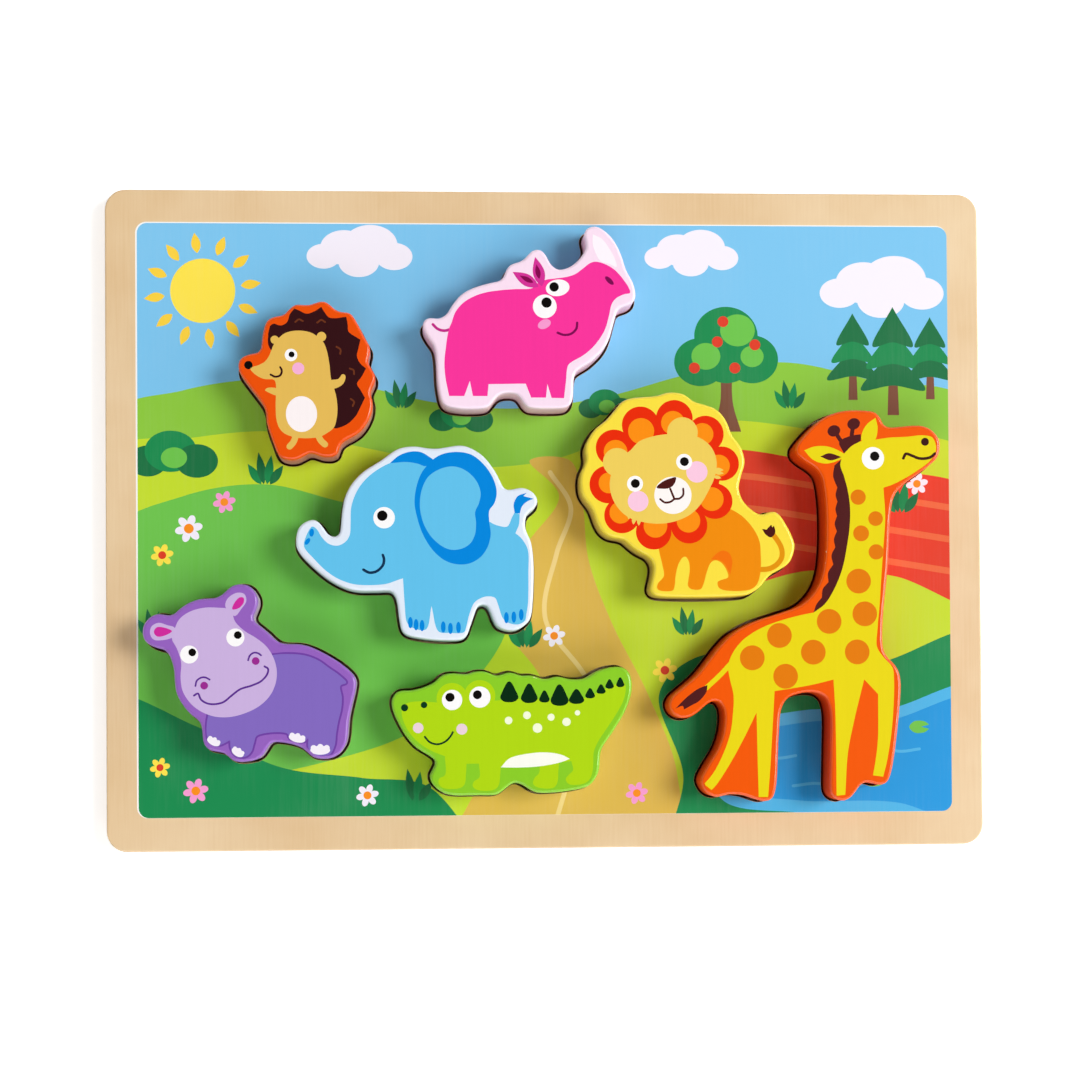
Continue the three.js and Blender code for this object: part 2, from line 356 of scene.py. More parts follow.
# Sawn plywood edge, bare: thin layers with the grain turned in each, dull, darker end grain and glue lines
def sawnPly():
    material, shader, add = startMaterial("basswoodPlySawnEdge", {"Specular IOR Level": 0.3})
    where = add("TexCoord").outputs["Object"]
    place = add("SeparateXYZ", {}, {0: where})
    wander = add("TexNoise", {"Scale": 1 / (wood["waverLength"] * mm), "Detail": 2.0}, {"Vector": where})
    reach = {"operation": "MULTIPLY_ADD", 1: wood["waver"] * mm}
    height = add("Math", reach, {0: wander, 2: place.outputs["Z"]})
    layer = add("Math", {"operation": "MULTIPLY", 1: math.pi / (wood["plyLayer"] * mm)}, {0: height})
    swing = add("Math", {"operation": "SINE"}, {0: layer})
    across, along = 1 / (wood["fibreWidth"] * mm), 1 / (wood["fibreHeight"] * mm)
    stretch = add("Mapping", {"Scale": (across, across, along)}, {"Vector": where})
    fibre = add("TexNoise", {"Scale": 1.0, "Detail": 4.0}, {"Vector": stretch})
    mixed = add("Math", {"operation": "MULTIPLY_ADD", 1: 0.9}, {0: fibre, 2: swing})
    soft = {"interpolation_type": "SMOOTHSTEP", "From Min": -0.2, "From Max": 1.3}
    tone = add("MapRange", soft, {"Value": mixed})
    layers = {"data_type": "RGBA", 6: linear(wood["plyPale"]), 7: linear(wood["plyDark"])}
    face = add("Mix", layers, {0: tone})
    gloss = add("MapRange", {"To Min": 0.65, "To Max": 0.85}, {"Value": fibre})
    relief = add("Bump", {"Strength": 0.4, "Distance": 0.06 * mm}, {"Height": mixed})
    linkNode(shader, {"Base Color": face, "Roughness": gloss, "Normal": relief})
    return material


paint = {
    "thinInk": "#F4F1F0", "blotch": 30,  # mm, where the picture's ink thins over raised fibres
    "worn": "#F1DDBD", "nick": 2.2,  # mm, bare wood where the rounded edge is knocked
    "mistFoot": 14, "mistTop": 2,  # mm below the top, the spray's mist on a wall
    "runOut": 0.3, "runLength": 5,  # share of the paint's depth, and mm, of its wavy lower edge
}


# UV-cured ink on sanded basswood: even satin colour, a little mottled where the grain shows through
def printInk():
    material, shader, add = startMaterial("uvInkOnBasswood", {"Specular IOR Level": 0.25})
    where = add("TexCoord").outputs["Object"]
    ink = add("Attribute", {"attribute_name": "ink"})
    grain = fineGrain(add, where)
    blotch = add("TexNoise", {"Scale": 1 / (paint["blotch"] * mm), "Detail": 3.0}, {"Vector": where})
    both = add("Math", {"operation": "MULTIPLY"}, {0: grain, 1: blotch})
    faint = {"From Min": 0.2, "From Max": 0.5, "To Min": 0.0, "To Max": 0.035}
    thin = add("MapRange", faint, {"Value": both})
    tinted = add("Mix", {"data_type": "RGBA", 7: linear(paint["thinInk"])}, {0: thin, 6: ink})
    gloss = add("MapRange", {"To Min": 0.45, "To Max": 0.55}, {"Value": grain})
    relief = add("Bump", {"Strength": 0.06, "Distance": 0.03 * mm}, {"Height": grain})
    linkNode(shader, {"Base Color": tinted, "Roughness": gloss, "Normal": relief})
    return material


# Sprayed paint and printed ink under satin lacquer, on sanded basswood: even colour, bright lines of light along the
# rounded edge, and small worn nicks there
def lacqueredPaint(animal, wallTop, top):
    satin = {"Specular IOR Level": 0.2, "Coat Weight": 0.65, "Coat Roughness": 0.2}
    material, shader, add = startMaterial(animal["node"] + "LacqueredPaint", satin)
    where = add("TexCoord").outputs["Object"]
    ink = add("Attribute", {"attribute_name": "ink"})
    place = add("SeparateXYZ", {}, {0: where})
    grain = fineGrain(add, where)
    faint = {"From Min": 0.3, "From Max": 0.7, "To Min": 0.985, "To Max": 1.01}
    shade = add("MapRange", faint, {"Value": grain})
    tinted = add("HueSaturation", {}, {"Value": shade, "Color": ink})
    chips = add("TexNoise", {"Scale": 1 / (paint["nick"] * mm), "Detail": 3.0}, {"Vector": where})
    few = add("MapRange", {"From Min": 0.72, "From Max": 0.76}, {"Value": chips})
    roundPart = {"operation": "COMPARE", 1: (wallTop + top) / 2, 2: 0.4 * (top - wallTop)}
    bend = add("Math", roundPart, {0: place.outputs["Z"]})
    nicks = add("Math", {"operation": "MULTIPLY"}, {0: few, 1: bend})
    nicked = add("Mix", {"data_type": "RGBA", 7: linear(paint["worn"])}, {0: nicks, 6: tinted})
    gloss = add("MapRange", {"To Min": 0.2, "To Max": 0.28}, {"Value": grain})
    relief = add("Bump", {"Strength": 0.15, "Distance": 0.03 * mm}, {"Height": grain})
    linkNode(shader, {"Base Color": nicked, "Roughness": gloss, "Normal": relief})
    return material


# Sawn basswood with the rim's spray running out over it, no lacquer: satin colour below the edge, then dull wood under
# a thin mist of the same colour
def sprayedWall(animal, top):
    material, shader, add = startMaterial(animal["node"] + "SprayedWall", {"Specular IOR Level": 0.08})
    where = add("TexCoord").outputs["Object"]
    place = add("SeparateXYZ", {}, {0: where})
    grain = fineGrain(add, where)
    streaks = {"From Min": 0.3, "From Max": 0.7, "To Min": 0.88, "To Max": 1.05}
    fibre = add("MapRange", streaks, {"Value": grain})
    # the wall's own colour; for the lion and the giraffe it is darkened as painted shade
    raw = add("HueSaturation", {"Color": linear(animal["wall"])}, {"Value": fibre})
    foot, head = top - paint["mistFoot"] * mm, top - paint["mistTop"] * mm
    fade = {"From Min": foot, "From Max": head, "To Min": 0.05, "To Max": 0.5}
    mist = add("MapRange", fade, {"Value": place.outputs["Z"]})
    rim = {"data_type": "RGBA", 7: linear(animal["rim"])}
    misted = add("Mix", rim, {0: mist, 6: raw})
    spray = add("TexNoise", {"Scale": 1 / (paint["runLength"] * mm), "Detail": 4.0}, {"Vector": where})
    depth = animal["paintDown"] * mm
    waver = {"operation": "MULTIPLY_ADD", 1: paint["runOut"] * depth}
    edge = add("Math", waver, {0: spray, 2: place.outputs["Z"]})
    reach = top - depth
    soft = {"interpolation_type": "SMOOTHSTEP", "From Min": reach, "From Max": reach + paint["runOut"] * depth}
    cover = add("MapRange", soft, {"Value": edge})
    painted = add("Mix", rim, {0: cover, 6: misted})
    gloss = add("MapRange", {"To Min": 0.7, "To Max": 0.45}, {"Value": cover})
    dull = add("Math", {"operation": "MULTIPLY_ADD", 1: 0.08}, {0: grain, 2: gloss})
    relief = add("Bump", {"Strength": 0.2, "Distance": 0.04 * mm}, {"Height": grain})
    linkNode(shader, {"Base Color": painted, "Roughness": dull, "Normal": relief})
    return material


plyFace = lacqueredPly()
plyEdge = sawnPly()
pictureInk = printInk()
print("materials: plywood face, plywood edge, picture ink")

# The animals' prints, in mm from a spot near the middle of each piece
eyes = {"eyeWhite": "#FCFAFA", "eyeBlack": "#0A0706"}

rhinoBody = [
    (-27.3, -4), (-28.3, -10), (-28.8, -15), (-28.5, -20), (-27.3, -26.3, 0), (-22.2, -26.3, 0), (-20.3, -21.2, 0),
    (-19.3, -26.3, 0), (-14.4, -26.3, 0), (-14, -22.3, 0), (-1.5, -22.1, 0), (0.3, -26.8, 0), (5.3, -26.8, 0),
    (5.8, -22.2, 0), (7.2, -26.9, 0), (11.4, -27, 0), (12, -22), (12.8, -16), (14, -14.8), (18, -12.5), (21, -10),
    (23.5, -7), (25.5, -3.5), (26.8, 1), (27.8, 5), (29.5, 7), (32, 8.2), (34, 8.7), (33.5, 10.5), (31.5, 13.5),
    (29, 16.3), (26, 18.2), (22.5, 19.2), (20.5, 18.7), (18, 16.8), (15.5, 15), (12.5, 14), (9, 13.5), (5.5, 13),
    (3, 12), (1, 10.2), (-5, 9.8), (-10, 9.4), (-15, 8.6), (-19, 7.2), (-22.5, 5), (-25, 2), (-26.3, -1.5),
]
rhinoHorn = [
    (21.5, 28.5, 0), (24.5, 27), (27.5, 23), (29, 20), (29.5, 17.5), (27, 18.5), (24, 19.5), (22.5, 22), (21.5, 25),
]
rhino = {
    "node": "rhino", "wall": "#E6B2C2", "rim": "#FBE0F2",
    "paintDown": 2.2,  # mm, how far the rim's paint runs down the wall
    "drawnFrom": (0.05, -0.34),  # mm, the drawing's origin from the middle of the piece
    "colours": {
        "tail": "#C22A86", "skin": "#F8349B", "horn": "#FFF5FC", "ear": "#D43296", "earInside": "#84064F",
        "cheek": "#F79BD0", "line": "#7A0A50",
    },
    "inks": [
        brush("tail", 0.95, [(-32.6, -2.2), (-31, -3.7), (-28.8, -4.3), (-26.4, -3.7)]),
        shape("skin", rhinoBody),
        shape("horn", rhinoHorn),
        leaf("ear", (3, 10.6), (-5.7, 15.6), 2), leaf("ear", (4.2, 10.8), (1.95, 20.7), 2),
        leaf("earInside", (1.3, 12), (-3.3, 14.4), 0.8), leaf("earInside", (3.3, 13.3), (2.35, 18.2), 0.85),
        oval("eyeWhite", 9.5, 10.3, 4, 2.8, 8),
        oval("eyeBlack", 8.3, 10.6, 1.6),
        *eye(5.1, 4, 4, 5.7, 5.3, 1.75),
        oval("cheek", 4.9, -2, 2.3, 1.5, 25),
        brush("line", 0.8, [(9.4, -4.9), (11.5, -5.6), (14, -5.2), (15.7, -3.5), (16, -1.5)]),
        oval("line", 27, 12.8, 1.9, 0.8, -45),
    ],
}

hedgehogQuills = [
    (-13.5, 12), (-13.8, 16), (-13.2, 19, 0), (-12, 19.8), (-9.5, 19.2), (-7.5, 20.3), (-6.5, 23), (-5, 24.9, 0),
    (-3.5, 24.3), (-1, 23.2), (1.5, 23.9), (4, 25.5, 0), (5, 23.8), (6.5, 22), (8.5, 21.7), (12.3, 22.2, 0),
    (12.8, 19.5), (13, 17.3), (17, 14.5, 0), (16.3, 11.5), (15.8, 9), (16.8, 6.7), (18.8, 4.8, 0), (17.3, 2),
    (15.8, -0.3), (17, -2.5), (18.4, -5, 0), (17, -8), (15.5, -11, 0), (13, -13.5), (10, -15), (8, -15.2), (0, -8),
    (-8, 6),
]
hedgehogBody = [
    (-19.8, 4.8), (-17, 5.9), (-15, 7), (-13.5, 9), (-12.7, 11), (-11.8, 13), (-10, 15.2), (-8, 16.7), (-4, 17.5),
    (0, 17), (2.3, 15.8), (4.5, 13.8), (5.7, 11), (6.5, 7), (7.2, 1), (8.7, -4), (9.2, -8), (9, -11.5), (8, -15),
    (5.5, -17), (3, -18.2), (-3.8, -18.5), (-8.5, -17), (-10.3, -15), (-11.2, -12), (-11.4, -8), (-11.4, 0),
    (-12, 1), (-15, 1.2), (-17, 2), (-19, 3.5),
]
hedgehogMarks = [
    [(-4.7, 20.4), (-3.5, 21.3), (-2.2, 20.7)], [(2.6, 20.2), (4, 21.1), (5.2, 20.4)],
    [(9, 12.1), (10.3, 11.2), (10.2, 9.7)], [(13.4, 4.8), (14.7, 4.2), (14.8, 2.9)],
    [(13.7, -5.4), (14.8, -6.4), (14.3, -7.8)],
]
hedgehog = {
    "node": "hedgehog", "wall": "#C2968C", "rim": "#EC5107",
    "paintDown": 2.2, "drawnFrom": (0.93, -0.8),
    "colours": {"dark": "#331014", "mark": "#6A331C", "fur": "#E5BA58", "belly": "#FDF3F3", "cheek": "#F7B2D8"},
    "inks": [shape("dark", hedgehogQuills)] + [brush("mark", 0.6, knots) for knots in hedgehogMarks] + [
        shape("fur", hedgehogBody),
        oval("fur", -11.6, 14.4, 1.4), oval("fur", 4, 15.5, 1.6),
        shape("fur", [(6.8, 0.7), (9.5, 1.3), (11, 2.9), (11.9, 2.4), (11.4, 0), (9.5, -1.5), (7, -2)]),
        shape("fur", [(-11, -4.2), (-13.5, -3.4), (-14.9, -2.5), (-14.2, -1.8), (-11, -2)]),
        brush("fur", 2.1, [(2.4, -17), (3.7, -19.5), (5, -20.7)]),
        brush("fur", 2.1, [(-4.6, -17.5), (-5.6, -20), (-6.8, -21.4)]),
        oval("eyeBlack", -20.4, 5.9, 1.4),
        oval("belly", -2.8, -10.5, 5.2, 6),
        *eye(-6.2, 9.3, 2.1, -6, 9.5, 1),
        oval("cheek", -3.8, 4.8, 2),
        brush("dark", 0.7, [(-13, 2.7), (-11.5, 2), (-9.8, 2.5), (-9.3, 4), (-9.8, 5.2)]),
    ],
}

elephantBody = [
    (-38.3, 0), (-36.8, 4.2), (-35.5, 5.8), (-34, 4.9), (-32.3, 2.2), (-30, 0), (-27, -0.6), (-24.3, 0.8), (-23, 3),
    (-22.7, 7), (-22.5, 12), (-21.3, 16), (-19, 20), (-15.5, 23.5), (-12, 25.8), (-9.5, 27), (-4, 28.2), (4, 27.5),
    (14, 15), (24.3, 7), (27, 5.9), (29.8, 5.7), (31.5, 9), (32.3, 10.4, 0), (34, 9.8, 0), (33.7, 6.3),
    (32.5, 3.4, 0), (34.4, 1.8), (36.6, -2), (36.8, -10), (36.6, -20), (36, -24), (35.5, -26), (33, -27.3),
    (29.5, -26.5), (28, -25), (26.5, -20.5), (25.5, -18.3), (23, -17.8), (20.5, -18.5), (18.5, -20), (16.8, -24),
    (15.8, -28), (15, -29.8), (10, -30), (6.5, -29.5), (4.2, -21, 0), (2.3, -28.8), (-2, -28.3), (-4, -26.5),
    (-4.8, -20), (-5.3, -11.6, 0), (-7, -12.2), (-11, -13.5), (-17, -13.9), (-22, -13.5), (-27, -11.7), (-31, -9),
    (-35, -5), (-38, -1.5),
]
elephantFarEar = [
    (-9.5, 27, 0), (-6.5, 29.5), (-2.5, 30.9), (1, 30.7), (3.5, 29.3), (5, 28), (2.5, 26), (0, 26.8), (-4, 27.4),
]
elephantEar = [
    (5, 28.3), (8, 30), (13, 30.8), (18, 29.8), (22.5, 26), (25.5, 21), (26.3, 17), (25.5, 13.5), (23.8, 11),
    (23.8, 7), (24.2, 3), (23, -1.5), (20.5, -4.8), (17, -6.7), (13, -7), (9, -5.8), (5, -2.5), (1.5, 3), (-0.5, 9),
    (-1.3, 14), (-0.5, 19.5), (1, 23.5), (3, 26.3),
]
elephantInnerEar = [
    (5, 23.8), (8, 25.3), (12, 25.9), (16, 24.5), (19.5, 21), (20.9, 17), (20.3, 13.5), (19, 10.5), (19.3, 7),
    (18.9, 3), (17.3, 0), (14.5, -1.7), (11, -2.1), (8, -1), (4.5, 2), (2, 6), (0.8, 10), (0.5, 14), (1.3, 18.5),
    (3, 22),
]
elephantTuft = [
    (32.3, 10.2, 0), (32, 13.2), (33.4, 15.9), (36.4, 17, 0), (35.3, 15.9, 0), (38.7, 15, 0), (36.4, 14),
    (34.8, 12.4), (34, 10, 0),
]
elephantMouth = [(-18.5, -8.7), (-16.5, -9.7), (-14, -9.2), (-12, -7.2), (-11.6, -5.2), (-12, -3.8)]
elephantToes = [
    (-2.9, -26.5), (-1, -27.2), (1, -27.5), (8.1, -28), (10.5, -28.5), (13.2, -28.2), (29.3, -25), (31.8, -24.8),
    (34.3, -24),
]
elephant = {
    "node": "elephant", "wall": "#BCCBD2", "rim": "#E2EBF8",
    "paintDown": 2.4, "drawnFrom": (0.48, -0.28),
    "colours": {"skin": "#62C1EB", "deep": "#0086DC", "line": "#12304F"},
    "inks": [
        shape("skin", elephantBody),
        shape("deep", elephantFarEar),
        shape("deep", elephantEar),
        shape("skin", elephantInnerEar),
        shape("deep", elephantTuft),
        *eye(-11.5, 8.7, 3.6, -12.1, 9.4, 1.75),
        brush("line", 0.9, elephantMouth),
    ] + [oval("deep", x, y, 0.8, 1.9) for x, y in elephantToes] + [
        oval("deep", -35.7, 3.75, 0.8, 1.35, -6), oval("deep", -37.1, 0.8, 0.7, 1.3, -35),
    ],
}

lionTail = [
    (24.5, -24.9), (27.8, -24.6), (30.3, -23.3), (31.9, -21.3), (32.3, -19.3), (31.8, -17), (30.4, -14.6), (29.2, -13),
]
lionTuft = [
    (25.5, -11.1, 0), (27, -11.4, 0), (28.6, -9.7, 0), (29, -10.6, 0), (29.6, -10, 0), (30, -12.4), (28.5, -14),
    (26.7, -13),
]
lionBody = [
    (15, -4.5), (19, -7), (22.5, -11), (24.5, -15), (25, -20), (24.8, -26), (23.5, -30), (21, -31.7), (12, -31.7),
    (10.5, -30.7), (10.3, -29), (12, -28.2), (13.8, -27.5), (13.3, -25), (11.5, -22.5), (9.5, -21.7), (8, -22.5),
    (6.5, -26), (5.5, -29.5), (4.5, -31.4), (1.3, -31.4), (0.2, -30.3), (0.3, -28.5), (0.8, -25), (0.5, -22),
    (-0.5, -20.5), (-1.5, -20.7), (-3, -23), (-4, -27), (-4.3, -30), (-5, -31.8), (-9.5, -31.8), (-10.3, -31),
    (-10, -29.5), (-8, -27), (-8.5, -23), (-9.5, -18.5), (-10, -12), (0, -4), (8, -2),
]
lionHaunch = [
    (8, -21.4, 0), (10, -19.4), (12, -18.4), (14.2, -19.2), (15.3, -22), (14.6, -26.5, 0), (13.8, -25), (12.6, -22.8),
    (10.6, -21.6),
]
lionMane = [
    (-27.3, 3), (-26, 10), (-21.5, 17), (-12, 22.6), (-8, 23.6), (-3, 23.8), (5, 21.5), (10.3, 16.5), (11.8, 10),
    (10.5, 3), (6.5, -4.3), (0.5, -8.8), (-8, -11), (-16, -10.3), (-22, -8), (-26, -3),
]
lionPetals = [  # middle and radius
    (-24.5, 16.3, 6.2), (-15.5, 24, 6.3), (-4, 26.3, 6.2), (6.5, 21, 6.2), (12, 11, 5.8), (9.5, -1.7, 6),
    (0.7, -9.8, 6.2), (-11.3, -12, 6), (-22, -6.5, 6), (-26.5, 4, 6.4),
]
lionCentres = [
    (-24, 15, 4), (-15.3, 22, 4.4), (-4.5, 24.8, 4), (5.5, 21, 3.7), (11, 10.3, 3.7), (8.5, -1, 4), (0.5, -8.3, 4),
    (-10.7, -10, 4), (-22.5, -5.5, 3.7), (-26.3, 4.5, 3.5),
]
lionFace = [
    (-26, 2.5), (-25.5, 7.5), (-22.5, 12.8), (-19, 15.5), (-16, 18.5), (-11, 20.3), (-6, 21), (0, 21), (5, 19.5),
    (8.5, 16.5), (10.2, 12), (9.7, 7), (7.5, 2), (4.5, -3), (1, -6.3), (-4, -8.5), (-9.5, -9.3), (-15, -8.7),
    (-20, -7), (-24, -3),
]
lionWhiskers = [  # root, tip and half width
    ((9.2, 9), (12.6, 8.8), 0.7), ((9.4, 8), (12.7, 7.7), 0.6), ((9.2, 6.6), (11.8, 6.1), 0.6),
    ((-19.3, -5.9), (-19.8, -7.8), 0.6), ((-17.8, -6.8), (-18.2, -9.6), 0.7), ((-16.2, -7.4), (-16.4, -10), 0.6),
]
lionNose = [(-10.2, 2.9), (-8.5, 4.7), (-5, 6.2), (-3.6, 6.4), (-4, 4.5), (-5.5, 2.9), (-8, 2.5)]
lionMouth = [(-9, -1), (-7.5, -2.1), (-5.5, -1.9), (-4.2, -1), (-2.5, -0.8), (-1.2, 0.5), (-1.2, 2.5)]
lion = {
    # the lion's wall colour is darkened brown, painted shade for its walls
    "node": "lion", "wall": "#B99A5A", "rim": "#F9DF42",
    "paintDown": 2.2, "drawnFrom": (-0.35, -0.52),
    "colours": {
        "tail": "#E39208", "dark": "#4A1512", "body": "#F08C06", "haunch": "#F27206", "mane": "#E92B04",
        "petal": "#FB8E10", "face": "#EFCE5C", "cheek": "#FAC9E0", "muzzle": "#FDF6F2",
    },
    "inks": [
        brush("tail", 1.75, lionTail),
        shape("dark", lionTuft),
        shape("body", lionBody),
        shape("haunch", lionHaunch),
        shape("mane", lionMane),
    ] + [oval("mane", *petal) for petal in lionPetals] + [oval("petal", *centre) for centre in lionCentres] + [
        oval("face", -23.5, 11.5, 4.8), oval("face", -1.3, 21.5, 5.2),
        shape("face", lionFace),
    ] + [leaf("face", *whisker) for whisker in lionWhiskers] + [
        oval("cheek", -16.5, -1.7, 3.5), oval("cheek", 3.5, 8.2, 3.6),
        *eye(-17.5, 4.2, 2.7, -17.4, 4.3, 1.5), *eye(-0.8, 11.6, 2.7, -0.7, 11.7, 1.5),
        oval("muzzle", -4.7, 0.3, 6.3),
        shape("dark", lionNose),
        brush("dark", 0.7, [(-5.6, 2.5), (-4.2, -1)]),
        brush("dark", 0.7, lionMouth),
    ],
}

hippoBody = [
    (7, 5.3), (12, 5.7), (18, 5.2), (22.5, 3.5), (26, 1), (29.5, -1.5), (31.8, -4), (29.8, -5), (30.3, -9), (30, -13),
    (29, -17), (28.3, -21), (27.8, -25), (26, -28), (20, -27.5), (19, -25), (19, -22.5), (17.8, -23.5), (13, -22.5),
    (12, -20.8), (2, -21.5), (1, -24), (0, -27), (-2, -28.5), (-5, -28), (-6.7, -25.5), (-7, -23), (-8, -23.5),
    (-10.5, -24.5), (-13.5, -23.5), (-14.5, -21.5), (-14.2, -15), (-10, -5), (0, 3),
]
hippoLeftEar = [
    (-25.3, 14.8), (-27.5, 15.5), (-30.5, 16.3), (-32.8, 15), (-33.2, 12.5), (-32, 10.7), (-29.5, 10.5), (-26.8, 11),
    (-24, 12.5),
]
hippoRightEar = [
    (-6.3, 19), (-8.3, 21.8), (-7.5, 24.3), (-4.5, 26.2), (-2, 25.8), (-1.3, 23.5), (-3, 20.8), (-5, 18.5),
]
hippoHead = [
    (-25, 14.5), (-23.5, 17.5), (-20, 20), (-15, 21.3), (-10, 21.2), (-8, 21), (-6.2, 19.5), (-5, 16.5), (-2, 13.5),
    (2, 11), (5.5, 8), (7.8, 4), (8.7, 0), (8.3, -4), (6.5, -8), (3, -11.5), (-2, -14), (-7, -15.2), (-12, -15),
    (-16.5, -13.3), (-20, -10.5), (-22.5, -6.5), (-23.2, -2), (-23, 3), (-24.3, 7.5), (-26, 11),
]
hippoMouth = [
    (-18.8, -8), (-17.5, -7.3), (-16.5, -9.3), (-14.5, -10.6), (-12, -10.9), (-9, -10.2), (-6.5, -8.2), (-3.5, -6),
    (0.5, -4.7), (3.5, -3.3), (5.5, -1), (5.8, 0.8), (4.6, 1.6),
]
hippo = {
    "node": "hippo", "wall": "#CFBCC8", "rim": "#9562BE",
    "paintDown": 2.4, "drawnFrom": (0.33, 0.56),
    "toes": [  # middle, half width, half height, turn
        (-12.4, -23.4, 2.3, 1.2, -28), (-4.4, -27, 2.2, 1.3, -32), (15.3, -22.5, 2.8, 1.3, -15),
        (23, -26.5, 3.3, 1.5, 0),
    ],
    "colours": {
        "edge": "#7042A2", "body": "#8369BF", "head": "#CBB1DF", "earInside": "#CF2C9C", "nostril": "#9B2C90",
        "line": "#5D2F8E", "toe": "#F6EFF8",
    },
    "inks": [
        brush("edge", 1.25, hippoBody + hippoBody[:1]),
        shape("body", hippoBody),
        shape("head", hippoLeftEar),
        shape("earInside", [(-26, 13.5), (-28.5, 14.7), (-31, 14.8), (-32, 13.3), (-31, 11.8), (-28.5, 12)]),
        shape("head", hippoRightEar),
        shape("earInside", [(-6, 20.7), (-5.5, 22.5), (-3.5, 24.7), (-2.2, 24.5), (-2.3, 22.7), (-4, 21)]),
        shape("head", hippoHead),
        *eye(-20.3, 5.7, 3, -19.3, 6.4, 1.3), *eye(-5, 11.3, 3, -4.2, 12.1, 1.3),
        oval("nostril", -15.4, -4.7, 1.3), oval("nostril", 1.7, 3.4, 1.3),
        brush("line", 0.6, [(-18.3, -4.8), (-17.8, -3), (-16.3, -2), (-14.9, -2), (-13.6, -2.7)]),
        brush("line", 0.6, [(-0.8, 3.7), (-0.2, 5.3), (1.2, 6.2), (2.5, 6), (3.5, 5.3)]),
        brush("line", 0.65, hippoMouth),
    ],
}
for x, y, rx, ry, turn in hippo["toes"]:
    hippo["inks"].append(oval("toe", x, y, rx, ry, turn))
    cos, sin = around(0, 0, 1, turn)
    for u, v in ((-0.66 * rx, 0.5 * ry), (0, 0.75 * ry), (0.66 * rx, 0.5 * ry)):  # three nails to a foot
        hippo["inks"].append(oval("toe", x + u * cos - v * sin, y + u * sin + v * cos, 0.3 * rx))

crocodileBody = [
    (-37.4, 6.5), (-37, 8.8), (-35, 10), (-31, 10.4), (-25.5, 10), (-17, 10), (-6, 10.5), (0, 11), (8, 11),
    (15, 10.5), (20, 10.5), (25, 11.5), (29, 13.3), (33, 15), (37, 16.8), (37.9, 15), (37.2, 10.5), (34.5, 5.5),
    (31.5, 1), (28.5, -3.5), (27, -7), (26.8, -11), (26.3, -14.5), (25, -16.8), (22, -17.9), (18.4, -17.6),
    (17.5, -16), (18.6, -14.5), (20, -13), (19.4, -10, 0), (15.3, -10.3, 0), (15, -13.5), (14.7, -17), (13.5, -18.8),
    (8, -18.7), (6.5, -17.5), (7, -15.5), (8.5, -14), (8.8, -11.5, 0), (-4.3, -11.8, 0), (-4.5, -14), (-5, -17.7),
    (-6.4, -19.3), (-12.5, -19.3), (-13.8, -18), (-13.3, -16.5), (-11.5, -15.2), (-11.6, -10.6, 0), (-15.8, -10.6, 0),
    (-16, -14), (-16.5, -17.5), (-18, -18.7), (-23.5, -18.7), (-25, -17.5), (-25, -15.5), (-23, -14.3), (-23, -8, 0),
    (-27.5, -6.2), (-31.5, -3.6), (-34.5, -0.5), (-36.4, 2.8),
]
crocodileBelly = [
    (-4.3, -11.9, 0), (-1.5, -9), (4, -7.5), (11, -7), (16, -7.8), (18.9, -9.2, 0), (16, -10.3), (9, -11.6), (2, -12),
]
crocodileMouth = [(-29.7, -1.5), (-28, -3.3), (-25.5, -4), (-23, -3.2), (-21.2, -1.5), (-20.3, 0)]
crocodileDots = [
    (-1.6, 3.8, 1.3), (4.6, 5.5, 1.3), (8.1, 1.2, 1.6), (12.7, 4.8, 1.2), (17.9, 3.2, 1.4), (21.6, 6.2, 0.9),
]
crocodile = {
    "node": "crocodile", "wall": "#B9CF8C", "rim": "#8ACC27",
    "paintDown": 2.4, "drawnFrom": (0.34, -0.23),
    "spikes": [  # middle, foot, tip, width
        (-1.3, 10, 16.3, 5.6), (5.4, 9.7, 15.6, 5.2), (10.5, 9.8, 13.5, 3.3), (15.6, 8.7, 15.2, 5.6),
        (21.3, 9.3, 13.8, 4.8), (25.9, 11.1, 14.2, 3.1), (29.6, 12.6, 15.5, 2.9), (32.5, 14.3, 17.2, 2.7),
        (36.1, 14.8, 17.8, 2.6),
    ],
    "spikeSide": [(0.28, 0.02), (0.49, 0.2), (0.36, 0.54), (0.07, 0.98)], "spikeGrow": 1.1,
    "colours": {
        "skin": "#B0D712", "belly": "#FBFBEE", "nostril": "#06381C", "cheek": "#EBD2DA", "line": "#0E3A20",
        "dot": "#F4FAD8", "spike": "#032A10",
    },
    "inks": [
        oval("skin", -20.5, 11.3, 5.2), oval("skin", -11.2, 12.2, 5.2),
        shape("skin", crocodileBody),
        shape("belly", crocodileBelly),
        oval("eyeWhite", -20.5, 10.8, 3.4),
        oval("eyeBlack", -21.2, 11.7, 1.55, 1.5),
        *eye(-11.2, 11.7, 3.55, -12, 12.5, 1.5),
        oval("nostril", -36.4, 8.3, 1.2), oval("nostril", -29.9, 9.2, 1.1),
        oval("cheek", -31.9, 1.5, 1.75), oval("cheek", -17.3, 1, 1.85),
        brush("line", 0.65, crocodileMouth),
    ] + [oval("dot", *dot) for dot in crocodileDots],
}
for x, foot, tip, width in crocodile["spikes"]:
    side, grow = crocodile["spikeSide"], crocodile["spikeGrow"]
    knots = [(-u, v) for u, v in side] + side[::-1]
    crocodile["inks"].append(shape("spike", placed(knots, x, foot, grow * width, grow * (tip - foot))))

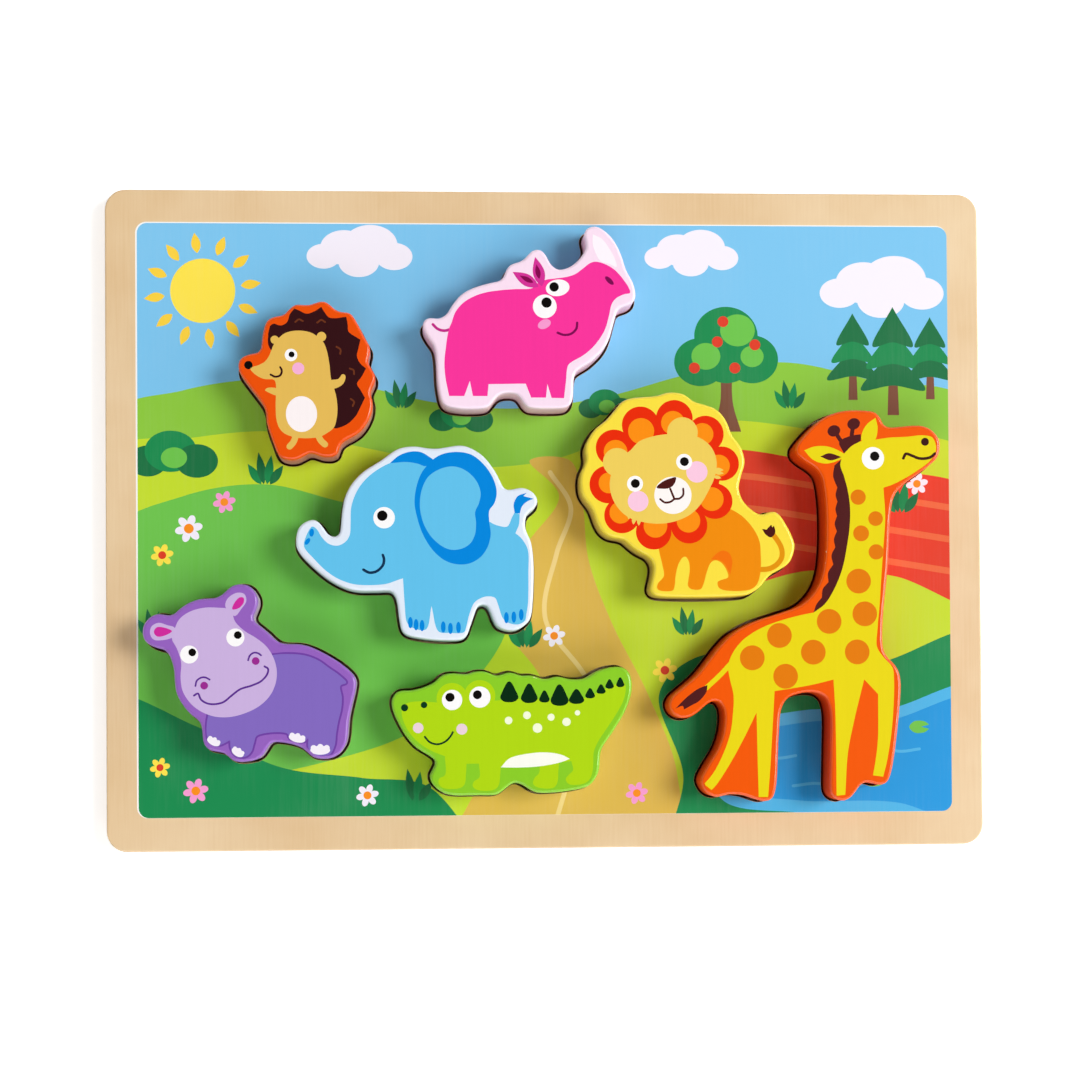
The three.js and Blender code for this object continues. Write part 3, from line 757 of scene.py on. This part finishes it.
giraffeMane = [
    (14, 50, 0), (11.3, 47.5, 0), (10.8, 44), (12.2, 40, 0), (11.6, 37.6), (12.2, 35.2, 0), (11.5, 32.8),
    (12, 30.4, 0), (11.2, 27.8), (11.9, 25.2, 0), (10.9, 22.6), (11.3, 19.8, 0), (10, 17), (10.6, 14, 0), (8.8, 11.2),
    (8.9, 8, 0), (6.9, 5.6), (6.6, 2.8, 0), (4.8, 0.6), (3.7, -2.3, 0), (9, -1), (16, 6), (20, 20), (20, 36), (17, 46),
]
giraffeTuft = [
    (-32.6, -26.6, 0), (-36, -28), (-40, -31), (-43.5, -34.5, 0), (-41, -33.6), (-40.6, -34.8, 0), (-38, -33.4),
    (-35.5, -32), (-33, -29),
]
giraffeBody = [
    (15, 52), (17.5, 54.3), (20.5, 55.8), (25, 56.3), (30, 57), (36, 57.3), (42, 57.8), (45, 57), (46.2, 54),
    (45.8, 51.5), (43.5, 48.5), (40, 46), (36, 43.5), (31, 41), (28, 40, 0), (28.5, 30), (27.8, 20), (27, 10),
    (26.3, 0), (25.5, -8), (25.3, -14), (27.5, -17.5), (30.5, -21), (31, -25), (30.3, -40), (28.5, -52), (27, -58, 0),
    (23.5, -57.5, 0), (24.5, -52), (25.3, -45), (25.5, -30, 0), (20.8, -25, 0), (17, -40), (15, -50), (14, -64, 0),
    (11, -64.3, 0), (11, -50), (10.8, -35), (10.3, -25, 0), (5, -26.3), (0, -27.3), (-9.8, -28.8, 0), (-10.5, -40),
    (-11.5, -55), (-12.3, -64.5, 0), (-15.5, -64.5, 0), (-15.7, -55), (-16, -36, 0), (-20, -44), (-25, -53),
    (-30, -60.5), (-31.5, -62, 0), (-34, -60, 0), (-31, -56.5), (-27.5, -50), (-25, -43), (-24, -36), (-23.8, -30),
    (-25, -24.5), (-25.5, -20), (-24, -16), (-21, -12), (-17, -9), (-12, -6.5), (-6, -4.5), (0, -3), (3.7, -2.3, 0),
    (7.5, 0.5), (10.5, 5), (13.5, 12), (15.3, 20), (16.3, 27), (16.5, 33), (15.8, 39), (14.5, 44), (13.3, 48),
]
giraffeEar = [(1, 52.7, 0), (4.5, 54), (9, 54), (13, 52.5), (15, 51), (12, 49), (8, 48.2), (4, 49.5)]
giraffeMouth = [(34.9, 50), (35.8, 51.5), (37.8, 50.9), (40.6, 49.9), (44.1, 50.3), (45.8, 51.6)]
giraffeSpots = [  # middle and radius
    (19.3, 36.8, 2.6), (25.2, 29.5, 2.5), (20.2, 24.5, 2.7), (25.3, 18.2, 2.6), (19.2, 8.3, 4.2), (21.2, -2.8, 4.2),
    (9, -5.3, 4.2), (-8, -10, 4.2), (3.5, -15.7, 4.2), (18.5, -15.7, 4.2), (-17.3, -17.5, 4.2), (-6, -23.8, 4.2),
]
giraffe = {
    "node": "giraffe", "wall": "#CE4410", "rim": "#F25801",  # the wall is sprayed all the way down; its darker orange is partly painted shade
    "paintDown": 2.4, "drawnFrom": (-1.06, -0.18),
    "colours": {"dark": "#4F1A1B", "skin": "#E9D613", "line": "#3A1410", "spot": "#E37B06"},
    "inks": [
        shape("dark", giraffeMane),
        brush("skin", 1.7, [(-24.8, -19.6), (-28.4, -23.4), (-33, -27.6)]),
        shape("dark", giraffeTuft),
        shape("skin", giraffeBody),
        shape("skin", giraffeEar),
        shape("dark", [(6.5, 50.6, 0), (9.5, 51.7), (13.8, 50.4, 0), (10, 49.3)]),
        shape("skin", [(20.7, 56), (21, 59), (22.6, 61.6), (25.5, 63.8, 0), (26.2, 60), (25, 56)]),
        brush("dark", 1.4, [(12, 58.4), (13.4, 56.2), (15.6, 54.4)]),
        brush("dark", 1.4, [(17.8, 61), (17.4, 58.6), (17.2, 56)]),
        oval("dark", 11.2, 59.3, 2.2, 1.9, 20), oval("dark", 18, 61.7, 2.2, 1.9, 20),
        shape("dark", [(14.6, 51.6, 0), (13, 55.5), (16.5, 57.5), (20.4, 58.2, 0), (20.3, 56), (17.5, 54.4)]),
        *eye(24.5, 50, 3.8, 25.1, 50.7, 1.6),
        oval("line", 42.4, 55.6, 1.35),
        brush("line", 0.95, giraffeMouth),
    ] + [oval("spot", *spot) for spot in giraffeSpots],
}


def buildAnimal(animal):
    node = animal["node"]
    low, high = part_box(node)
    wallLow, wallTop = wallSpan(node)
    outline = curveThrough(planLoops(node, wallTop, False)[0], True, outlinePace)
    radius = (high.z - wallTop) / mm
    under = roundOver(outline, wallLow, radius, -radius, (90, 60, 30, 0))
    over = roundOver(outline, wallTop, radius, radius, [90 * step / 8 for step in range(9)])
    rim = linear(animal["rim"])
    tints = {**eyes, **animal["colours"]}
    origin = Vector([(low[i] + high[i]) / 2 / mm + animal["drawnFrom"][i] for i in (0, 1)])
    inks = [([p + origin for p in loop], linear(tints[tint])) for tint, loop in animal["inks"]]
    sheets = Sheets()
    lacquered, sprayed = 0, 1  # places in the list of materials
    sheets.addWall(under + over[:1], rim, sprayed)
    sheets.addWall(over, rim, lacquered)
    sheets.addFlat(over[-1], rim, lacquered, inks=inks, inkMaterial=lacquered)
    sheets.addFlat(under[0], rim, sprayed, up=False)
    materials = [lacqueredPaint(animal, wallTop, high.z), sprayedWall(animal, high.z)]
    sheets.finish(node + "Painted", materials, node + "_piece", node)


for animal in (hedgehog, rhino, elephant, lion, hippo, crocodile, giraffe):
    buildAnimal(animal)

picture = {
    "border": (10.8, 11.4), "corner": 3.5, "edgeEase": 0.1,  # mm
    "underprintGrow": 0.22, "underprintShift": (-0.32, 0.16),  # mm, white first pass, larger and out of register
    "colours": {
        "underprint": "#FBF8F4", "sky": "#7CC5EE", "cloud": "#F5EFFA", "sun": "#FEE44A", "ray": "#FBD23A",
        "lime": "#C3DC2B", "red": "#DE3A20", "furrow": "#E8683A", "ochre": "#DDB54C", "sand": "#EED185",
        "water": "#1D97DC", "waterLight": "#4BB4E6", "leaf": "#6CC34A", "deepLeaf": "#0F8A4C", "fresh": "#8CC83C",
        "pine": "#12703F", "bark": "#7E4E38", "pink": "#F79BD0", "orange": "#FB8E10",
    },
    # places in mm, with a radius or a scale
    "sun": (-117, 78, 11),
    "clouds": [(-64, 90, 1.0), (50, 90, 0.9), (116, 78, 1.2)],
    "pines": [(106, 46, 1.0), (120, 42, 1.25), (133, 46, 0.95)],
    "appleTree": (62, 52, 1.0),
    "bushes": [(-128, 20, 1.1), (-30, 34, 0.8), (20, 38, 0.7)],
    "daisies": [
        (-122, -3, 1.1, "cloud"), (-131, -12, 0.9, "sun"), (-110, 6, 0.9, "pink"), (2, -40, 0.9, "cloud"),
        (40, -52, 1.0, "sun"), (-120, -92, 1.0, "pink"), (-62, -94, 0.9, "cloud"), (-132, -84, 0.8, "sun"),
        (30, -94, 0.9, "pink"), (128, 12, 0.9, "cloud"),
    ],
    "tufts": [
        (-96, 12, 1.0), (-50, 38, 0.9), (-8, -44, 1.0), (48, -40, 0.9), (-46, -96, 1.0), (122, 2, 1.1), (84, 38, 0.9),
        (-134, -40, 0.9),
    ],
    "lilies": [(70, -92, 5), (112, -90, 4), (128, -72, 3.5)],
}


def puffs(x, y, size, balls, wide, high):  # overlapping ovals of a cloud, a crown or a bush
    return [oval(tint, x + u * size, y + v * size, r * size * wide, r * size * high) for u, v, r, tint in balls]


def landscapeInks():  # from the sky forward
    x, y, r = picture["sun"]
    for degrees in range(8, 368, 30):  # rays round the sun
        yield leaf("ray", around(x, y, r + 2, degrees), around(x, y, r + 9, degrees), 1.6)
    yield oval("sun", x, y, r)
    cloud = [(u, v, r, "cloud") for u, v, r in ((-12, 0, 5), (-5, 3, 7), (4, 4, 8), (12, 0, 5.5), (0, -2, 6))]
    for x, y, size in picture["clouds"]:
        yield from puffs(x, y, size, cloud, 1.15, 0.85)
    yield shape("fresh", [
        (-150, 34), (-124, 44), (-96, 48), (-66, 46), (-38, 40), (-10, 38), (20, 42), (50, 50), (82, 54), (112, 48),
        (150, 38), (150, -120), (-150, -120)])
    for x, y, size in picture["pines"]:
        yield shape("bark", placed([(-1.6, -5, 0), (1.6, -5, 0), (1.3, 4, 0), (-1.3, 4, 0)], x, y, size))
        for tint, wide, foot, tip in (("pine", 9, 2, 13), ("deepLeaf", 7.4, 8, 19), ("pine", 5.6, 14, 25)):
            yield shape(tint, placed([(-wide, foot), (0, tip, 0), (wide, foot), (0, foot + 1.2)], x, y, size))
    yield shape("lime", [
        (-150, 22), (-120, 28), (-92, 30), (-60, 24), (-30, 18), (0, 20), (30, 30), (60, 34), (96, 30), (150, 20),
        (150, -120), (-150, -120)])
    x, y, size = picture["appleTree"]
    trunk = [(-5, -22, 0), (-2.2, -12), (-2, 0, 0), (2, 0, 0), (2.2, -12), (5, -22, 0)]
    yield shape("bark", placed(trunk, x, y, size))
    crown = [(u, v, r, "deepLeaf") for u, v, r in ((-9, 2, 9), (9, 3, 9), (0, 11, 11), (0, 3, 9))]
    crown += [(u, v, r, "leaf") for u, v, r in ((-7, 4, 5), (4, 13, 6), (9, 4, 4))]
    yield from puffs(x, y, size, crown, 1, 0.92)
    for spot in placed([(-11, 0), (-3, 9), (3, 0), (10, 8), (-1, 16)], x, y, size):  # apples
        yield oval("red", *spot, 1.9)
    yield shape("leaf", [
        (-150, -6), (-124, 8), (-96, 12), (-70, 6), (-48, 2), (-30, -14), (-14, -34), (-30, -60), (-60, -78),
        (-150, -84)])
    yield shape("ochre", [
        (-6, 20), (4, 8), (-8, -10), (-16, -34), (-2, -58), (-20, -84), (-34, -120), (42, -120), (44, -88), (34, -60),
        (22, -36), (14, -14), (12, 6), (8, 20)])
    yield brush("sand", 1.6, [(1, 16), (8, 4), (3, -12), (-1, -34), (14, -58), (8, -84), (2, -104)])
    yield shape("red", [
        (34, 22), (64, 24), (100, 18), (150, 8), (150, -30), (120, -20), (90, -18), (62, -24), (40, -20), (28, -2)])
    for drop in (0, -11, -22):  # furrows
        yield brush("furrow", 2.2, [(32, 14 + drop), (64, 15 + drop), (100, 10 + drop), (150, 2 + drop)])
    yield shape("deepLeaf", [(-150, -60), (-120, -70), (-92, -84), (-64, -88), (-40, -92), (-26, -120), (-150, -120)])
    yield shape("deepLeaf", [
        (42, -120), (46, -88), (38, -60), (50, -48), (80, -46), (112, -50), (150, -40), (150, -120)])
    yield shape("waterLight", [
        (54, -84), (64, -72), (88, -66), (116, -66), (150, -58), (150, -110), (120, -102), (84, -101), (60, -97)])
    yield shape("water", [
        (59, -84), (68, -75), (90, -70), (116, -70), (150, -62), (150, -106), (120, -98), (86, -97), (64, -93)])
    for x, y, reach in ((76, -82, 9), (96, -92, 12), (118, -80, 10), (104, -76, 7)):  # ripples
        yield brush("waterLight", 1.0, placed([(-1, 0), (-1 / 3, 0.8), (1 / 3, -0.4), (1, 0.4)], x, y, reach, 1))
    pad = [(0.2, 0, 0), (1, 0.22, 0), (0.5, 0.55), (-0.5, 0.55), (-1, 0), (-0.5, -0.55), (0.5, -0.55), (1, -0.2, 0)]
    for x, y, r in picture["lilies"]:
        yield shape("leaf", placed(pad, x, y, r))
    bush = [(-7, 0, 6, "pine"), (0, 3, 8, "deepLeaf"), (8, 0, 6.5, "pine"), (1, 1, 4, "leaf")]
    for x, y, size in picture["bushes"]:
        yield from puffs(x, y, size, bush, 1, 0.8)
    for x, y, size in picture["tufts"]:  # blades of grass
        for u, v, tint in ((-6, 7, "deepLeaf"), (-2.4, 11, "pine"), (2, 10, "deepLeaf"), (6, 6.5, "pine")):
            yield leaf(tint, (x + u * 0.25 * size, y), (x + u * size, y + v * size), 1.5 * size)
    for x, y, size, tint in picture["daisies"]:
        for degrees in range(12, 372, 60):  # petals round the middle
            yield oval(tint, *around(x, y, 2.6 * size, degrees), 1.7 * size, 1.2 * size, degrees)
        yield oval("red" if tint == "sun" else "orange", x, y, 1.5 * size)


def clipped(loop, low, high):  # keeps an ink inside the picture's rectangle
    return [Vector((min(max(p.x, low.x), high.x), min(max(p.y, low.y), high.y))) for p in loop]


def plateRings(outline, ease, bottom, top):  # the eased lower and upper edge of a board
    turns = [0, 22.5, 45, 67.5, 90]
    under = roundOver(outline, bottom + ease * mm, ease, -ease, turns[::-1])
    return under, roundOver(outline, top - ease * mm, ease, ease, turns)


def buildBoards():
    low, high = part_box("picture_board")
    wallTop = wallSpan("picture_board")[1]
    flatLow, flatHigh = Vector((low.x / mm, low.y / mm)), Vector((high.x / mm, high.y / mm))
    outer = max(planLoops("picture_board", wallTop, False), key=len)
    corner = flatHigh.x - max(p.x for p in outer if p.y > flatHigh.y - 0.01)  # where the straight edge ends
    outline = roundedLoop(flatLow, flatHigh, corner)
    ease = (high.z - wallTop) / mm
    loops = planLoops("picture_board", high.z, True)
    widest = max(loops, key=lambda loop: max(p.x for p in loop) - min(p.x for p in loop))
    cuts = [curveThrough(loop, True, outlinePace) for loop in loops if loop is not widest]

    border, shift = Vector(picture["border"]), Vector(picture["underprintShift"])
    printLow, printHigh = flatLow + border, flatHigh - border
    printArea = roundedLoop(printLow, printHigh, picture["corner"])
    grow = Vector((picture["underprintGrow"], picture["underprintGrow"]))
    firstPass = roundedLoop(printLow - grow + shift, printHigh + grow + shift, picture["corner"] + grow.x)
    tints = {name: linear(tint) for name, tint in picture["colours"].items()}
    inks = [(firstPass, tints["underprint"]), (printArea, tints["sky"])]
    inks += [(clipped(loop, printLow, printHigh), tints[tint]) for tint, loop in landscapeInks()]

    sheets = Sheets()
    face, edge, printed = 0, 1, 2  # places in the list of materials
    bare = linear(wood["pale"])
    under, over = plateRings(outline, ease, low.z, high.z)
    sheets.addWall(under + over[:2], bare, edge)
    sheets.addWall(over[1:], bare, face)  # the lacquer starts on the eased edge
    eased = picture["edgeEase"]
    tops = []
    for cut in cuts:
        wall = roundOver(cut, high.z - eased * mm, -eased, eased, (90, 60, 30, 0))
        tops.append(wall[0][0])
        sheets.addWall(wall + [(cut, low.z)], bare, edge)
    sheets.addFlat(over[-1], bare, face, True, tops, inks, printed, printArea)
    sheets.addFlat(under[0], bare, face, False, cuts)
    sheets.finish("pictureBoardPrinted", [plyFace, plyEdge, pictureInk], "tray", "picture_board")

    low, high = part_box("back_panel")
    under, over = plateRings(outline, ease, low.z, high.z)
    sheets = Sheets()
    sheets.addWall(under + over, bare, edge)
    sheets.addFlat(over[-1], bare, face)
    sheets.addFlat(under[0], bare, face, False)
    sheets.finish("backPanelPly", [plyFace, plyEdge], "tray", "back_panel")


buildBoards()

studio = {
    "floorColour": "#FFFFFF", "floorSize": 40,  # m
    "floorLift": 0.47,  # how far the paper is lifted to white where the camera sees it
    "lamps": [  # place and size in m, power in W, the window side is to the right
        ("keyLight", (2.95, 0.4, 3.35), (1.8, 1.8), 131.0),
        ("edgeLight", (3.0, -0.45, 0.75), (3.3, 1.05), 22.0),
        ("fillLight", (0.1, -3.0, 3.3), (4.2, 2.4), 70.0),
    ],
    "lampAim": (0, 0, 0.01),  # m
    "ceiling": 0.02, "walls": 0.83,  # light from the room, dark overhead where the camera hangs
    "wallHead": 0.35, "ceilingEdge": 0.86,  # upward share of a direction, where the walls end and the ceiling starts
}


# White background paper, dull: a plain floor that keeps a faint shadow
def buildFloor():
    bm = bmesh.new()
    bmesh.ops.create_grid(bm, x_segments=2, y_segments=2, size=studio["floorSize"] / 2)
    mesh = bpy.data.meshes.new("paperFloor")
    bm.to_mesh(mesh)
    bm.free()
    floor = bpy.data.objects.new("paperFloor", mesh)
    scene.collection.objects.link(floor)
    paper, shader, add = startMaterial("whitePaperFloor", {
        "Base Color": linear(studio["floorColour"]), "Roughness": 0.9, "Specular IOR Level": 0.1,
        "Emission Color": (1, 1, 1, 1)})
    rays = add("LightPath").outputs
    direct = add("Math", {"operation": "ADD"}, {0: rays["Is Camera Ray"], 1: rays["Is Glossy Ray"]})
    held = {"operation": "ADD", "use_clamp": True}
    seen = add("Math", held, {0: direct, 1: rays["Is Transmission Ray"]})
    lift = add("Math", {"operation": "MULTIPLY", 1: studio["floorLift"]}, {0: seen})
    linkNode(shader, {"Emission Strength": lift})
    mesh.materials.append(paper)


def buildLight():
    for name, place, size, power in studio["lamps"]:
        lamp = bpy.data.lights.new(name, "AREA")
        lamp.shape = "RECTANGLE"
        lamp.size, lamp.size_y = size
        lamp.energy = power
        holder = bpy.data.objects.new(name, lamp)
        holder.location = place
        holder.rotation_euler = (Vector(studio["lampAim"]) - Vector(place)).to_track_quat("-Z", "Y").to_euler()
        scene.collection.objects.link(holder)
    world = bpy.data.worlds.new("studioRoom")
    world.use_nodes = True
    tree = world.node_tree
    room = tree.nodes["Background"]
    room.inputs["Color"].default_value = (1, 1, 1, 1)
    aim = addNode(tree, "SeparateXYZ", {}, {0: addNode(tree, "TexCoord").outputs["Generated"]})
    level = addNode(tree, "MapRange", {
        "interpolation_type": "SMOOTHSTEP", "From Min": studio["wallHead"], "From Max": studio["ceilingEdge"],
        "To Min": studio["walls"], "To Max": studio["ceiling"]}, {"Value": aim.outputs["Z"]})
    linkNode(room, {"Strength": level})
    scene.world = world


buildFloor()
buildLight()
print("studio: floor, %d lamps, room light" % len(studio["lamps"]))

camera = {
    "place": (-48, -66, 800), "aim": (-2.92, -51.53, 9), "lean": -0.38,  # mm and degrees, almost straight above
    "lens": 77.24, "sensor": 36,  # mm
    "rise": 0.12,  # of the frame above the lens axis
    "clipEnd": 60,  # m
}


def buildCamera():
    lens = bpy.data.cameras.new("photoCamera")
    lens.lens = camera["lens"]
    lens.sensor_width = camera["sensor"]
    lens.shift_y = camera["rise"]
    lens.clip_end = camera["clipEnd"]
    place, aim = Vector(camera["place"]) * mm, Vector(camera["aim"]) * mm
    forward = (aim - place).normalized()
    right = forward.cross(Vector((0, 1, 0))).normalized()
    up = right.cross(forward)
    cos, sin = around(0, 0, 1, camera["lean"])
    holder = bpy.data.objects.new("photoCamera", lens)
    axes = Matrix((right * cos + up * sin, up * cos - right * sin, -forward))
    holder.matrix_world = axes.transposed().to_4x4()
    holder.location = place
    scene.collection.objects.link(holder)
    scene.camera = holder


buildCamera()
scene.view_settings.view_transform = "Standard"
